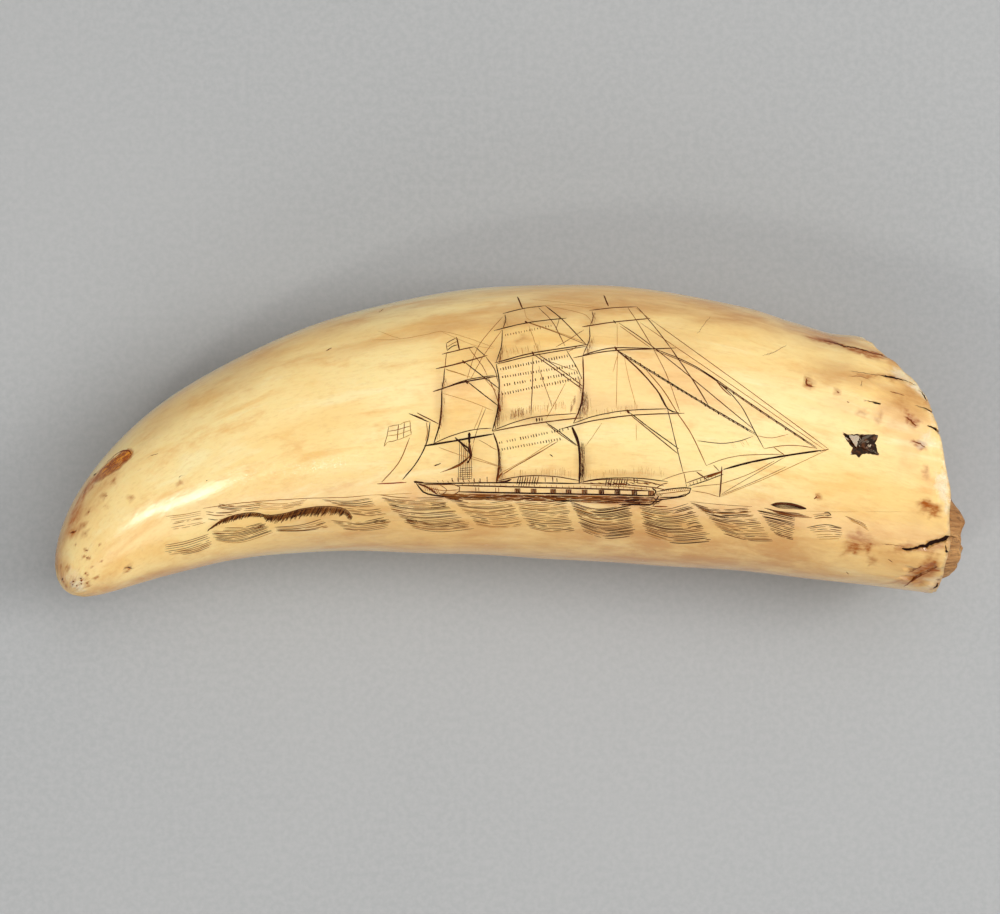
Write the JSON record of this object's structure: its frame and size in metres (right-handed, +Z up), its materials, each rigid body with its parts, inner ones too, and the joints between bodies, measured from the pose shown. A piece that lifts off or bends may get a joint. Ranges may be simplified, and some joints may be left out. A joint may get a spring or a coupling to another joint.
{
  "type": "scrimshaw whale tooth",
  "caption": "Curved, tapering whale tooth lying on its broad side, polished and engraved with a sailing ship over waves, with a cracked, hollow, broken root end.",
  "frame": {"origin": "on the surface that the tooth lies on, under the middle of its box", "axes": "+X to the broken root end, the tip at -X; +Y to the convex edge; +Z up, the engraved side"},
  "size_m": [0.1652, 0.0568, 0.0387],
  "materials": {
    "ivory": "satin",
    "pigment": "matte",
    "residue": "gloss"
  },
  "bodies": {
    "root": {"tooth": "ivory"}
  },
  "joints": []
}
